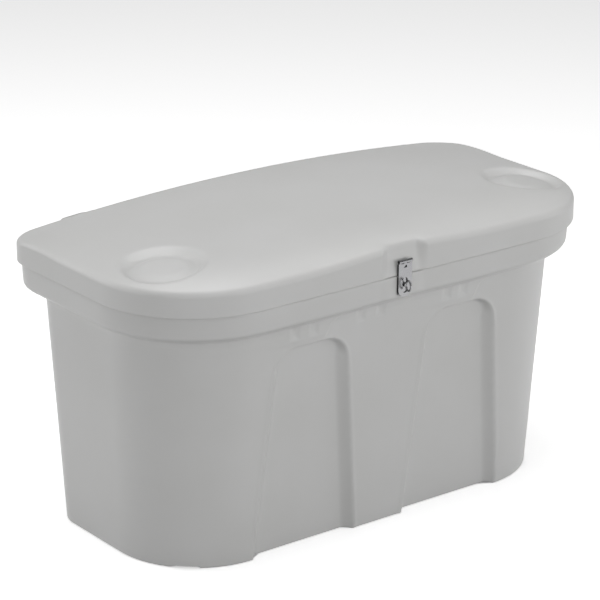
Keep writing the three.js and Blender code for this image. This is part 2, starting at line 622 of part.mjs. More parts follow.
for (const [label, side] of [["left", -1], ["right", 1]]) {
  const hinge = new THREE.Group();
  hinge.position.x = side * HINGE_X;
  chest.add(hinge);
  const pinEnd = HINGE_LENGTH / 2 + 0.5;
  const prefix = `hinge_${label}`;
  addMesh(hinge, `${prefix}_lid_leaf`, makeHingeLeaf(1), stainless);
  addMesh(hinge, `${prefix}_rim_leaf`, makeHingeLeaf(-1), stainless);
  const pin = rodX(HINGE_PIN_RADIUS, -pinEnd, pinEnd, HINGE_AXIS.y, HINGE_AXIS.z);
  addMesh(hinge, `${prefix}_pin`, pin, stainless);
  const leafFace = PAD_FACE_Y + GAP + HINGE_LEAF.thickness + GAP;
  for (const [leaf, up] of [["lid", 1], ["rim", -1]])
    [-1, 0, 1].forEach((k, number) => {
      const z = HINGE_AXIS.z + up * HINGE_SCREW_OFFSET;
      const name = (kind) => `${prefix}_${leaf}_${kind}_${number + 1}`;
      const screw = addMesh(hinge, name("screw"), panScrew(leafFace, -1, HINGE_SCREW_LENGTH), stainless);
      const nut = addMesh(hinge, name("nut"), makeNut(PAD_FACE_Y - WALL, -1), stainless);
      for (const piece of [screw, nut]) piece.position.set(k * HINGE_SCREW_PITCH, 0, z);
    });
}

addMesh(chest, "hasp_leaf", makeHaspLeaf(), stainless);
addMesh(chest, "hasp_strap", makeStrap(), stainless);
const haspPinEnd = HASP_WIDTH / 2 + 0.4;
const haspPin = rodX(HASP_PIN_RADIUS, -haspPinEnd, haspPinEnd, HASP_AXIS.y, HASP_AXIS.z);
addMesh(chest, "hasp_pin", haspPin, stainless);
addMesh(chest, "eye_base_plate", makeBasePlate(), stainless);
addMesh(chest, "padlock_eye", makeEye(), stainless);
addMesh(chest, "eye_washer", makeEyeWasher(), stainless);

for (const [label, spots] of [["leaf", leafSpots], ["plate", plateSpots]])
  spots.forEach(({ x, z }, number) => {
    const name = (kind) => `hasp_${label}_${kind}_${number + 1}`;
    const screw = addMesh(chest, name("screw"), flatScrew(PLATE_FACE_Y, HASP_SCREW_LENGTH), stainless);
    const nut = addMesh(chest, name("nut"), makeNut(LATCH_FACE_Y + WALL, 1), stainless);
    for (const piece of [screw, nut]) piece.position.set(x, 0, z);
  });

// Bring the origin to the middle of the depth, between the eye's tip and the hinge barrels.
const eyeTip = STRAP_FACE_Y - 0.5 - 2 * EYE.halfReach;
const barrelBack = HINGE_AXIS.y + HINGE_BARREL_RADIUS;
chest.position.y = -(eyeTip + barrelBack) / 2;

export default chest;
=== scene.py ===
# %% [markdown]
# # A moulded storage chest with a hinged lid
# The chest is two hollow mouldings of white polyethylene, a tub and a lid, with stainless hinges at
# the back and a swivel-eye hasp at the front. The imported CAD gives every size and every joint. The
# hardware is right as it stands and only needs its metal. The two mouldings are made again here, as
# fine smooth surfaces, because their look is all in soft edges that flat facets can't show.

# %% Load the frame
import bpy
import numpy as np
from mathutils import Matrix, Vector


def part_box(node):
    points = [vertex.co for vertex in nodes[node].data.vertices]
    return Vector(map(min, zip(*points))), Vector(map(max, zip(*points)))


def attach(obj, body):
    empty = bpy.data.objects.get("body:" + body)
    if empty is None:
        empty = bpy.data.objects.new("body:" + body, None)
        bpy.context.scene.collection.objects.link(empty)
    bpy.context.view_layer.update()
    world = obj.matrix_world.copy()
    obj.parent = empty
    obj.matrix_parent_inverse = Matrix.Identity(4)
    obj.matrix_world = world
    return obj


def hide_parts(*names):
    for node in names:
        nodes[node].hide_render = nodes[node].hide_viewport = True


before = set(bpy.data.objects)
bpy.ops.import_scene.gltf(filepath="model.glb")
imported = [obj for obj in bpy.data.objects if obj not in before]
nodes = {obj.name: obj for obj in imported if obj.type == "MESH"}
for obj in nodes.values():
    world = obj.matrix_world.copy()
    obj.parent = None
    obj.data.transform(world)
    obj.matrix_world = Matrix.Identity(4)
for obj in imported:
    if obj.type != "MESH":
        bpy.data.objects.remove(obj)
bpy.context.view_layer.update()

# %% [markdown]
# ## Working in millimetres from the middle of the lid
# The mouldings are easiest to describe in millimetres, with X along the length and Y from front to
# back, counted from the middle of the lid. The CAD is placed a few millimetres forward of that, so
# the offset is read from the lid's own box.

# %% Units and small helpers
LID_HALF_DEPTH = 250.0
OFFSET_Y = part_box("lid")[0].y * 1000 + LID_HALF_DEPTH


def metres(points):
    """Millimetre points about the lid's middle, as metres in the shared frame."""
    return (np.asarray(points, float) + [0, OFFSET_Y, 0]) / 1000


def smooth(value, start, end):
    """0 before start, 1 after end, and the cubic 3t^2 - 2t^3 between them."""
    t = np.clip((value - start) / (end - start), 0, 1)
    return t * t * (3 - 2 * t)


def softplus(value, softness):
    """softness * log(1 + exp(value / softness)): 0 well below zero and value well above it."""
    return softness * np.logaddexp(0, value / softness)


def soft_ramp(value, width, softness):
    """A straight ramp from 0 to 1 over width, with both ends rounded: the difference of two softplus
    curves one width apart, divided by the width."""
    return (softplus(value, softness) - softplus(value - width, softness)) / width


print(f"lid middle is {OFFSET_Y:.2f} mm off the frame's middle")

# %% [markdown]
# ## One outline for every ring
# Seen from above, both mouldings are rounded rectangles whose front corners are much rounder than
# the rear ones. A ring is that outline at some height. If every ring has the same number of points,
# and each point keeps its share of its own side, rings of different sizes join into clean quads.

# %% The plan outline
# A plan is (half length, front y, rear y, front corner radius, rear corner radius).
COLUMNS_PER_SIDE = (150, 56, 22, 26, 78)  # front half, front corner, end, rear corner, rear half
LEAST_RADIUS = 8.0


def stations():
    """The side number, the share of the way along it, and the sign of x, for each point of a ring,
    counter-clockwise from above: the right half from the front middle, then the left half back."""
    side = np.concatenate([np.full(n, k) for k, n in enumerate(COLUMNS_PER_SIDE)] + [[4]])
    share = np.concatenate([np.arange(n) / n for n in COLUMNS_PER_SIDE] + [[1.0]])
    left = slice(-2, 0, -1)
    sign = np.concatenate([np.ones(len(side)), -np.ones(len(side[left]))])
    return np.concatenate([side, side[left]]), np.concatenate([share, share[left]]), sign


SIDE, SHARE, SIGN = stations()


def ring_points(plan):
    """x and y of every station on plan, an array (rings, 5). Straight sides are the share of their
    length, and corners are radius * (sin, cos) of the share of a quarter turn."""
    half, front, rear, front_r, rear_r = (plan[:, k, None] for k in range(5))
    turn = SHARE * np.pi / 2
    x = np.select(
        [SIDE == 0, SIDE == 1, SIDE == 2, SIDE == 3],
        [SHARE * (half - front_r), half - front_r + front_r * np.sin(turn), half + 0 * SHARE,
         half - rear_r + rear_r * np.cos(turn)],
        (1 - SHARE) * (half - rear_r))
    end = rear - rear_r - front - front_r
    y = np.select(
        [SIDE == 0, SIDE == 1, SIDE == 2, SIDE == 3],
        [front + 0 * SHARE, front + front_r - front_r * np.cos(turn), front + front_r + end * SHARE,
         rear - rear_r + rear_r * np.sin(turn)],
        rear + 0 * SHARE)
    return x * SIGN, y


def inset(plans, distances):
    """One row for each distance: the plan, or the plan of the same row, moved inwards by it, with
    its corner radii kept above LEAST_RADIUS."""
    rows = np.asarray(plans, float) + np.asarray(distances, float)[:, None] * [-1, 1, -1, -1, -1]
    rows[:, 3:] = np.maximum(rows[:, 3:], LEAST_RADIUS)
    return rows


print(len(SIDE), "points in a ring")

# %% [markdown]
# ## From rings to a closed mesh
# Neighbouring rings are joined by quads, and the first and last ring are closed with a fan of
# triangles to one middle point. Writing the arrays straight into the mesh keeps it quick.

# %% The ring mesh


def mesh_object(name, points, quads, triangles):
    """A smooth-shaded object of metres points and two index arrays."""
    mesh = bpy.data.meshes.new(name)
    corners = np.concatenate([quads.ravel(), triangles.ravel()]).astype(np.int32)
    sizes = np.concatenate([np.full(len(quads), 4), np.full(len(triangles), 3)]).astype(np.int32)
    mesh.vertices.add(len(points))
    mesh.vertices.foreach_set("co", np.asarray(points, np.float32).ravel())
    mesh.loops.add(len(corners))
    mesh.loops.foreach_set("vertex_index", corners)
    mesh.polygons.add(len(sizes))
    starts = np.concatenate([[0], np.cumsum(sizes)[:-1]]).astype(np.int32)
    mesh.polygons.foreach_set("loop_start", starts)
    mesh.polygons.foreach_set("use_smooth", np.ones(len(sizes), bool))
    mesh.update(calc_edges=True)
    mesh.validate()
    piece = bpy.data.objects.new(name, mesh)
    bpy.context.scene.collection.objects.link(piece)
    return piece


def ring_mesh(name, rings):
    """A closed piece from an array (rings, points, 3) in millimetres. Rings run so that the outside
    is on the right of the way they go, seen with the points counter-clockwise."""
    count, around = rings.shape[:2]
    start = np.arange(count - 1)[:, None] * around
    here = np.arange(around)[None, :]
    after = (here + 1) % around
    quads = np.stack([start + here, start + after, start + around + after, start + around + here], -1)
    first, last = rings[0].mean(0), rings[-1].mean(0)
    points = np.concatenate([rings.reshape(-1, 3), [first, last]])
    bottom, top = count * around, count * around + 1
    ring0, ring1 = here.ravel(), here.ravel() + (count - 1) * around
    next0, next1 = after.ravel(), after.ravel() + (count - 1) * around
    fans = np.concatenate([
        np.stack([np.full(around, bottom), next0, ring0], -1),
        np.stack([np.full(around, top), ring1, next1], -1)])
    return mesh_object(name, metres(points), quads.reshape(-1, 4), fans)


print("100 rings make", 101 * len(SIDE), "faces")

# %% [markdown]
# ## Polyethylene
# Rotationally moulded polyethylene is white but a little waxy: light soaks in and the gloss is low.
# The surface carries a fine grain from the mould, slow waves where the wall cooled unevenly, and
# faint scuffs where it has been handled. The grain and the wear are groups, so the foam and the
# steel can use the same ones with other values. A third group paints shade into the steel: it finds
# the faces that turn sideways or down from the way the surface turns, and darkens them as painted
# shadow and painted dark reflections.

# %% Shader helpers


def new_group(name, inputs, outputs):
    """An empty node group with these sockets, and its input and output nodes."""
    group = bpy.data.node_groups.new(name, "ShaderNodeTree")
    for socket, value in inputs.items():
        made = group.interface.new_socket(socket, in_out="INPUT", socket_type="NodeSocketFloat")
        made.default_value = value
    for socket, kind in outputs.items():
        group.interface.new_socket(socket, in_out="OUTPUT", socket_type=kind)
    return group, group.nodes.new("NodeGroupInput"), group.nodes.new("NodeGroupOutput")


def add(tree, kind, **values):
    """A node of this kind, with its named inputs and properties set."""
    node = tree.nodes.new(kind)
    for key, value in values.items():
        if key in node.inputs:
            node.inputs[key].default_value = value
        else:
            setattr(node, key, value)
    return node


def noise(tree, coordinates, scale, detail=2.0, stretch=None):
    """A noise of Object coordinates; stretch is a scale along each axis."""
    source = coordinates
    if stretch:
        mapping = add(tree, "ShaderNodeMapping", Scale=stretch)
        tree.links.new(coordinates, mapping.inputs["Vector"])
        source = mapping.outputs["Vector"]
    made = add(tree, "ShaderNodeTexNoise", Scale=scale, Detail=detail)
    tree.links.new(source, made.inputs["Vector"])
    return made.outputs["Fac"]


def math_node(tree, operation, a, b):
    """The output of a math node; a and b are numbers or sockets."""
    node = add(tree, "ShaderNodeMath", operation=operation)
    for socket, value in zip(node.inputs, (a, b)):
        if isinstance(value, (int, float)):
            socket.default_value = value
        else:
            tree.links.new(value, socket)
    return node.outputs[0]


def remap(tree, value, low, high, to_low, to_high):
    """value moved from the range low..high to the range to_low..to_high, and kept inside it."""
    node = tree.nodes.new("ShaderNodeMapRange")
    sockets = ("From Min", "From Max", "To Min", "To Max")
    for socket, amount in zip(sockets, (low, high, to_low, to_high)):
        if isinstance(amount, (int, float)):
            node.inputs[socket].default_value = amount
        else:
            tree.links.new(amount, node.inputs[socket])
    tree.links.new(value, node.inputs["Value"])
    return node.outputs["Result"]


print("shader helpers: new_group, add, noise, math_node, remap")

# %% The mould grain, handling wear and painted side shade groups


def grain_group():
    """Height of a moulded skin: fine grain plus slow waves, each with its own depth."""
    group, given, out = new_group(
        "mould_grain", {"Grain size": 900.0, "Grain": 0.2, "Waves": 1.0}, {"Height": "NodeSocketFloat"})
    place = group.nodes.new("ShaderNodeTexCoord").outputs["Object"]
    fine = add(group, "ShaderNodeTexNoise", Detail=2.0)
    group.links.new(place, fine.inputs["Vector"])
    group.links.new(given.outputs["Grain size"], fine.inputs["Scale"])
    grain = math_node(group, "MULTIPLY", fine.outputs["Fac"], given.outputs["Grain"])
    slow = math_node(group, "MULTIPLY", noise(group, place, 9.0), given.outputs["Waves"])
    group.links.new(math_node(group, "ADD", grain, slow), out.inputs["Height"])
    return group


def wear_group():
    """Masks of slow colour drift, and of fine streaks where a surface has been rubbed."""
    group, given, out = new_group(
        "handling_wear", {"Streaks": 1.0}, {"Drift": "NodeSocketFloat", "Rubbed": "NodeSocketFloat"})
    place = group.nodes.new("ShaderNodeTexCoord").outputs["Object"]
    drift = remap(group, noise(group, place, 5.0, 3.0), 0.35, 0.65, 0.0, 1.0)
    lines = noise(group, place, 60.0, 4.0, (1.0, 6.0, 9.0))
    patches = remap(group, noise(group, place, 7.0, 2.0), 0.5, 0.72, 0.0, 1.0)
    rubbed = math_node(group, "MULTIPLY", remap(group, lines, 0.55, 0.75, 0.0, 1.0), patches)
    group.links.new(drift, out.inputs["Drift"])
    group.links.new(math_node(group, "MULTIPLY", rubbed, given.outputs["Streaks"]), out.inputs["Rubbed"])
    return group


def side_shade_group():
    """A mask for painted shade on sheet that lies across Y: 1 where the object's normal is square to
    Y, falling to 0 where it turns along Y or upwards."""
    group, given, out = new_group("painted_side_shade", {"Start": 0.3, "End": 0.6}, {"Mask": "NodeSocketFloat"})
    normal = group.nodes.new("ShaderNodeTexCoord").outputs["Normal"]
    split = group.nodes.new("ShaderNodeSeparateXYZ")
    group.links.new(normal, split.inputs[0])
    across = math_node(group, "ABSOLUTE", split.outputs["Y"], 0.0)
    square = remap(group, across, given.outputs["Start"], given.outputs["End"], 1.0, 0.0)
    level = remap(group, split.outputs["Z"], 0.1, 0.4, 1.0, 0.0)
    group.links.new(math_node(group, "MULTIPLY", square, level), out.inputs["Mask"])
    return group


GRAIN = grain_group()
WEAR = wear_group()
SIDE_SHADE = side_shade_group()
print("groups:", GRAIN.name, WEAR.name, SIDE_SHADE.name)

# %% Materials from the groups
MIX_FIRST, MIX_SECOND, MIX_RESULT = 6, 7, 2  # the colour sockets of a Mix node


def place_group(tree, group, **values):
    """A node that uses the group in this tree, with some of its inputs set."""
    node = tree.nodes.new("ShaderNodeGroup")
    node.node_tree = group
    for key, value in values.items():
        node.inputs[key].default_value = value
    return node


def colour_between(tree, factor, first, second):
    """The first colour where factor is 0, the second where it is 1."""
    node = add(tree, "ShaderNodeMix", data_type="RGBA")
    node.inputs[MIX_FIRST].default_value = (*first, 1)
    node.inputs[MIX_SECOND].default_value = (*second, 1)
    tree.links.new(factor, node.inputs["Factor"])
    return node.outputs[MIX_RESULT]


def paint_side_shade(material, shade_tone):
    """Mix the material's colour towards a given dark tone, as painted shade on the faces that turn
    sideways or down.
    """
    tree = material.node_tree
    principled = tree.nodes["Principled BSDF"]
    face_tone = principled.inputs["Base Color"].links[0].from_socket
    mask = place_group(tree, SIDE_SHADE).outputs["Mask"]
    tone = colour_between(tree, mask, shade_tone, shade_tone)
    tree.links.new(face_tone, tone.node.inputs[MIX_FIRST])
    tree.links.new(tone, principled.inputs["Base Color"])


def finish(name, light, dark, rough, rough_rubbed, grain, bump, **shader):
    """A material: two tones by slow drift, two roughnesses by rubbing, and a grain in its bump."""
    material = bpy.data.materials.new(name)
    material.use_nodes = True
    tree = material.node_tree
    principled = tree.nodes["Principled BSDF"]
    for socket, value in shader.items():
        principled.inputs[socket.replace("_", " ")].default_value = value
    wear = place_group(tree, WEAR)
    tone = colour_between(tree, wear.outputs["Drift"], dark, light)
    roughness = remap(tree, wear.outputs["Rubbed"], 0.0, 1.0, rough, rough_rubbed)
    tree.links.new(tone, principled.inputs["Base Color"])
    tree.links.new(roughness, principled.inputs["Roughness"])
    height = place_group(tree, GRAIN, **grain)
    relief = add(tree, "ShaderNodeBump", Strength=bump[0], Distance=bump[1])
    tree.links.new(height.outputs["Height"], relief.inputs["Height"])
    tree.links.new(relief.outputs["Normal"], principled.inputs["Normal"])
    return material


polyethylene = finish(
    "polyethylene", (0.605, 0.605, 0.6), (0.585, 0.585, 0.577), 0.4, 0.52,
    {"Grain size": 700.0, "Grain": 0.12, "Waves": 1.0}, (0.35, 0.0012))
stainless = finish(
    "stainless", (0.34, 0.34, 0.345), (0.3, 0.3, 0.31), 0.24, 0.36,
    {"Grain size": 2500.0, "Grain": 0.3, "Waves": 0.4}, (0.12, 0.0004), Metallic=1.0)
# painted shade: near black on the steel's sideways and downward faces, for shadow and dark reflections
paint_side_shade(stainless, (0.03, 0.03, 0.0305))
foam = finish(
    "foam", (0.12, 0.118, 0.112), (0.09, 0.088, 0.084), 0.9, 0.96,
    {"Grain size": 1500.0, "Grain": 1.0, "Waves": 0.2}, (0.7, 0.0006))
print("materials:", polyethylene.name, stainless.name, foam.name)

# %% [markdown]
# ## The tub
# The wall leans out a little from the floor to a shoulder, then a flange steps out and stands
# upright to the seam. Two leg recesses are pressed into the front, with a low hood over each and
# small dents between the hoods and the flange. All of that is one surface: a grid of rings whose
# points are moved by simple functions of x and height. The same functions move the inner rings, so
# that the wall keeps its thickness inside each recess.

# %% The tub's sizes
WALL = 7.0
FLOOR_PLAN = (450, -187, 190, 169, 55)  # half length, front, rear, front and rear corner radius
SHOULDER_PLAN = (472, -210, 213, 180, 62)
RIM_PLAN = (505, -246, 248, 206, 78)
SHOULDER_Z = 436.0
SEAM_Z = 491.5
FLANGE_Z = (420, 428, 434, 444, 449.5, 453, 458)
FLANGE_OUT = (0, 0.04, 0.14, 0.74, 0.93, 0.985, 1)  # share of the step taken at each height
RIM_DRAFT = 1.5  # how far the flange leans in towards its lower edge
RIM_DRAFT_Z = (452, 486)  # heights where that lean is full and where it has gone
WALL_REACH = 1.05  # how far past the shoulder the wall goes on leaning out
RIM_LEDGE = 16.0
LIP_HEIGHT = 12.0

LEG_DEPTH = 15.5
LEG_TOP_Z = 390.0
LEG_CORNER = 44.0
LEG_SIDE = 17.0  # width of the sloping side walls
LEG_TOP_SIDE = 4.0  # height of the steeper top wall
LEG_BEAD = 1.8  # rise of the rounded edge round each recess
LEG_TURN = 0.6  # share of a top corner in which the side's width turns into the top's
LEG_SOFTNESS = 1.2
LEG_BEAD_WIDTH = 5.0
LEG_INNER = (54.0, 92.0)  # |x| of the inner edge at the floor and at the top
LEG_OUTER = (285.0, 246.0)

HOOD_RISE = 3.0
HOOD_MIDDLES = (-169.0, 169.0)
HOOD_EDGE_Z = (385.0, 400.0, 421.0, 433.0, 438.0)
HOOD_EDGE_X = (28.0, 30.0, 41.0, 60.0, 78.0)  # the hood's right edge, counted from its middle
HOOD_STEP = (-3, 6)  # distances in from the right edge where the hood starts and is full
HOOD_FADE_X = (-120, -20)  # and the same from its middle, on its left
HOOD_FADE_Z = (392, 404)
DENT_MIDDLES = (-211.0, -170.0, -64.0, -19.0, 131.0, 169.0)
DENT_HALF = (13.0, 15.0)
DENT_Z = 419.0
DENT_DEPTH = 2.2
DENT_SIDE = 12.0

PAD_X = 308.0
PAD_HALF_WIDTH = 72.0
PAD_SIDE = 7.0
PAD_FACE_Y = 269.0
PAD_TOP_Z = 536.6
PAD_RISE_Z = (436, 452)  # heights over which the pads come out of the wall
LATCH_HALF_WIDTH = 30.0
LATCH_SIDE = 23.0
LATCH_FACE_Y = -247.0
LATCH_RISE_Z = (446, 458)
print("rim:", 2 * RIM_PLAN[0], "x", RIM_PLAN[2] - RIM_PLAN[1], "mm, seam at", SEAM_Z, "mm")

# %% The tub's features


def leg_depth(x, z):
    """How far the front wall is set back: LEG_DEPTH times a soft ramp of the distance in from the
    edge of a tapered panel with round top corners, less a low bead along that edge. Near a corner
    the distance is the radius less the distance to the corner's centre. The ramp is LEG_SIDE wide
    at the sides and LEG_TOP_SIDE at the top, and turns from one to the other round the corner."""
    share = np.clip(z / LEG_TOP_Z, 0, 1)
    inner = LEG_INNER[0] + (LEG_INNER[1] - LEG_INNER[0]) * share
    outer = LEG_OUTER[0] + (LEG_OUTER[1] - LEG_OUTER[0]) * share
    across = np.minimum(np.abs(x) - inner, outer - np.abs(x))
    below = LEG_TOP_Z - z
    aside, up = np.maximum(LEG_CORNER - across, 0), np.maximum(LEG_CORNER - below, 0)
    corner = LEG_CORNER - np.hypot(aside, up)
    inside = np.where((aside > 0) & (up > 0), corner, np.minimum(across, below))
    width = LEG_SIDE + (LEG_TOP_SIDE - LEG_SIDE) * smooth(up / (up + aside + 0.001), 0, LEG_TURN)
    bead = LEG_BEAD * np.exp(-(inside / LEG_BEAD_WIDTH) ** 2)
    return LEG_DEPTH * soft_ramp(inside, width, LEG_SOFTNESS) - bead


def front_relief(x, z):
    """How far the front wall stands back just under the flange: shallow round-cornered dents, less a
    low hood over each recess that ends at its right in a short step and fades out at its left."""
    relief = np.zeros_like(x)
    for middle in DENT_MIDDLES:
        room = np.minimum(DENT_HALF[0] - np.abs(x - middle), DENT_HALF[1] - np.abs(z - DENT_Z))
        relief = relief + DENT_DEPTH * smooth(room, 0, DENT_SIDE)
    for middle in HOOD_MIDDLES:
        edge = middle + np.interp(z, HOOD_EDGE_Z, HOOD_EDGE_X)
        across = smooth(edge - x, *HOOD_STEP) * smooth(x - middle, *HOOD_FADE_X)
        relief = relief - HOOD_RISE * (across * smooth(z, *HOOD_FADE_Z))
    return relief


def on_pad(x):
    """1 on a hinge pad and 0 beside it, with sloping sides."""
    return smooth(PAD_HALF_WIDTH - np.abs(np.abs(x) - PAD_X), 0, PAD_SIDE)


def on_latch(x):
    """1 on the latch flat, fading to 0 over its soft sides."""
    return smooth(LATCH_HALF_WIDTH + LATCH_SIDE - np.abs(x), 0, LATCH_SIDE)


def flange_share(z):
    """How far the wall has stepped out to the flange: a short concave foot, a sloping underside,
    a rounded lower lip, then the upright face."""
    return np.interp(z, FLANGE_Z, FLANGE_OUT)


def tub_ring(z, thickness, shape_z=None):
    """Rings of the tub's wall at heights z, moved in by thickness: the leaning wall and the upright
    flange mixed by flange_share, then the front's relief, the latch flat and the hinge pads."""
    shape_z = z if shape_z is None else shape_z
    share = np.clip(shape_z / SHOULDER_Z, 0, WALL_REACH)[:, None]
    wall_plan = np.asarray(FLOOR_PLAN) * (1 - share) + np.asarray(SHOULDER_PLAN) * share
    rim_in = RIM_DRAFT * (1 - smooth(shape_z, *RIM_DRAFT_Z)) + thickness
    wx, wy = ring_points(inset(wall_plan, np.full(len(z), thickness)))
    fx, fy = ring_points(inset(RIM_PLAN, rim_in))
    mix = flange_share(shape_z)[:, None]
    x, y = wx + (fx - wx) * mix, wy + (fy - wy) * mix
    height = np.broadcast_to(shape_z[:, None], x.shape)
    front, rear = SIDE == 0, SIDE == 4
    y = y + front * (leg_depth(x, height) + front_relief(x, height)) * (1 - mix)
    flat = LATCH_FACE_Y + thickness
    y = np.where(front, y + (flat - y) * on_latch(x) * smooth(height, *LATCH_RISE_Z), y)
    y = y + rear * on_pad(x) * (PAD_FACE_Y - RIM_PLAN[2]) * smooth(height, *PAD_RISE_Z)
    return np.stack([x, y, np.broadcast_to(z[:, None], x.shape)], -1)


def flat_rings(plan, distances, heights):
    """Plain rings of plan at the given insets and heights."""
    x, y = ring_points(inset(plan, distances))
    return np.stack([x, y, np.broadcast_to(np.asarray(heights, float)[:, None], x.shape)], -1)


def centre_rings(ring, shares):
    """Copies of a ring drawn in to its middle by each share."""
    middle = np.array([0.0, ring[:, 1].mean(), 0.0])
    keep = (1 - np.asarray(shares))[:, None, None]
    return np.concatenate([middle[:2] + (ring[None, :, :2] - middle[:2]) * keep,
                           np.broadcast_to(ring[None, :, 2:], (len(keep), len(ring), 1))], -1)


middle_of_leg = np.array([HOOD_MIDDLES[1]]), np.array([LEG_TOP_Z / 2])
print("recess depth, mm:", np.round(leg_depth(*middle_of_leg), 2))

# %% Make the tub
FOOT_RADIUS = 6.0
FOOT_NOTCH = 5.0  # height of the gap under each front corner
FOOT_NOTCH_X = (372.0, 380.0, 407.0, 415.0)  # |x| where the gap starts, is full, ends and is gone
FOOT_NOTCH_Y = (95.0, 110.0)
INNER_BEND = 12.0  # radius between the wall and the floor inside


def one_ring(z, thickness, shape_z):
    """One ring at height z that has the shape the wall has at shape_z."""
    return tub_ring(np.array([z]), thickness, np.array([shape_z]))


def make_tub():
    """Rings from the middle of the floor out and up the outside, over the lip, down the inside, and
    in to the middle of the floor again."""
    turn = np.linspace(0, np.pi / 2, 7)[:-1]
    foot_z = FOOT_RADIUS * (1 - np.cos(turn))
    foot_in = FOOT_RADIUS * (1 - np.sin(turn))
    outer_z = np.concatenate([
        np.linspace(FOOT_RADIUS, 330, 14), np.linspace(340, 428, 60), np.linspace(430, 460, 26),
        np.linspace(464, SEAM_Z - 2, 6)])
    foot = np.concatenate([one_ring(z, d, FOOT_RADIUS) for z, d in zip(foot_z, foot_in)])
    aside, forward = np.abs(foot[..., 0]), -foot[..., 1]
    starts, full, ends, gone = FOOT_NOTCH_X
    notch = smooth(aside, starts, full) * smooth(-aside, -gone, -ends) * smooth(forward, *FOOT_NOTCH_Y)
    foot[..., 2] = np.maximum(foot[..., 2], FOOT_NOTCH * notch)
    outside = tub_ring(outer_z, 0.0)
    rim = np.concatenate([one_ring(SEAM_Z - 0.6, 0.6, SEAM_Z), one_ring(SEAM_Z, 2.0, SEAM_Z)])
    lip_top = SEAM_Z + LIP_HEIGHT
    lip_in = RIM_LEDGE + np.array([-1, 0, 0.4, 2, WALL - 2, WALL, WALL])
    lip_z = [SEAM_Z, SEAM_Z + 1, lip_top - 2, lip_top, lip_top, lip_top - 2, SEAM_Z - WALL]
    ledge = flat_rings(RIM_PLAN, lip_in, lip_z)
    inner_z = np.concatenate([
        [SEAM_Z - WALL - 1], np.linspace(478, 440, 14), np.linspace(425, 340, 14),
        np.linspace(320, 30, 6)])
    inside = tub_ring(inner_z, WALL)
    turn = np.linspace(0, np.pi / 2, 6)
    bend_z = WALL + INNER_BEND * (1 - np.sin(turn))
    bend_in = WALL + INNER_BEND * (1 - np.cos(turn))
    bend = np.concatenate([one_ring(z, d, WALL + INNER_BEND + 1) for z, d in zip(bend_z, bend_in)])
    below = centre_rings(foot[0], np.linspace(0.95, 0.1, 6))
    above = centre_rings(bend[-1], np.linspace(0.1, 0.95, 6))
    rings = [below, foot, outside, rim, ledge, inside, bend, above]
    return ring_mesh("tub_shell", np.concatenate(rings))


tub_shell = make_tub()
tub_shell.data.materials.append(polyethylene)
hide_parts("tub")
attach(tub_shell, "tub_body")
print("tub faces:", len(tub_shell.data.polygons))

# %% [markdown]
# ## The lid
# The lid is a shallow dome with an upright skirt. Its front edge humps up over the hasp, its rear
# edge follows the dome, and a round grip with a raised island is sunk near each end. The dome is a
# height over the plan, so the whole lid is again one set of rings: along the underside, down inside
# the skirt, round its lower edge, up outside, over a rounded edge, and in to the middle.

# %% The lid's sizes
LID_PLAN = (508, -250, 250, 194, 65)
LID_BOTTOM_Z = SEAM_Z + 0.3
LID_EDGE_Z = 536.0
LID_CREST_Z = 566.2
CORNER_FALL = 25.0
CORNER_FALL_X = 480.0
CORNER_FALL_FRONT = 0.2  # share of the corner fall at the front
CORNER_FALL_Y = (-200, 240)
REAR_FALL = 12.5
REAR_FALL_Y = 80.0
FRONT_HUMP = 9.4
FRONT_HUMP_HALF_WIDTH = 213.0
EDGE_RADIUS = 8.0
CROWN_REACH = 44.0
REAR_EDGE_Y = (60, 225)  # where the ends' edge starts to rise, and where it has met the dome
GRIP_X = 405.0
GRIP_Y = -99.0
GRIP_RADIUS = 74.0
GRIP_DEPTH = 12.0
# The grip's lengths, down to ISLAND_SHIFT, are shares of its radius. ISLAND_HEIGHT is a share of its
# depth, and ISLAND_TILT is how much that share grows in one radius towards ISLAND_SIDE.
GRIP_WALL = 0.17
GRIP_SOFTNESS = 0.012
ISLAND_RADIUS = 0.80
ISLAND_WALL = 0.32
ISLAND_SOFTNESS = 0.015
ISLAND_SHIFT = 0.08
ISLAND_SIDE = (0.45, 0.89)  # towards the island's high side: inwards and back
ISLAND_HEIGHT = 0.55
ISLAND_TILT = 0.4
POCKET_DEPTH = 11.0
POCKET_REACH = 16.0
PAD_TOP_FADE = 3
EDGE_STEPS = (8, 9.5, 11.5, 14, 17, 21, 25, 30, 35, 40)  # distances in from the edge, past its round
LOWER_EDGE = ((WALL - 1.2, 0.6), (WALL - 2.5, 0.0), (2.5, 0.0), (1.2, 0.4), (0.4, 1.1))
SKIRT_ROUND = 2.0
print("lid:", 2 * LID_PLAN[0], "x", LID_PLAN[2] - LID_PLAN[1], "mm, crest at", LID_CREST_Z, "mm")

# %% The lid's height


def dome(x, y):
    """The dome without its rounded edge: the crest, less a fall to the rear that grows with the
    square of the distance behind REAR_FALL_Y, less a fall to the rear corners."""
    rear = np.maximum(y - REAR_FALL_Y, 0) / (LID_PLAN[2] - REAR_FALL_Y)
    back = CORNER_FALL_FRONT + (1 - CORNER_FALL_FRONT) * smooth(y, *CORNER_FALL_Y)
    corner = CORNER_FALL * (np.abs(x) / CORNER_FALL_X) ** 2 * back
    return LID_CREST_Z - REAR_FALL * rear ** 2 - corner


def edge_height(x, y):
    """Height of the lid's edge: level along the front and the ends, with a cosine hump over the
    hasp, and the dome's own height along the rear."""
    hump = FRONT_HUMP * np.cos(np.pi / 2 * np.clip(x / FRONT_HUMP_HALF_WIDTH, -1, 1)) ** 2
    front = LID_EDGE_Z + hump * (y < 0)
    return front + (dome(x, y) - front) * smooth(y, *REAR_EDGE_Y)


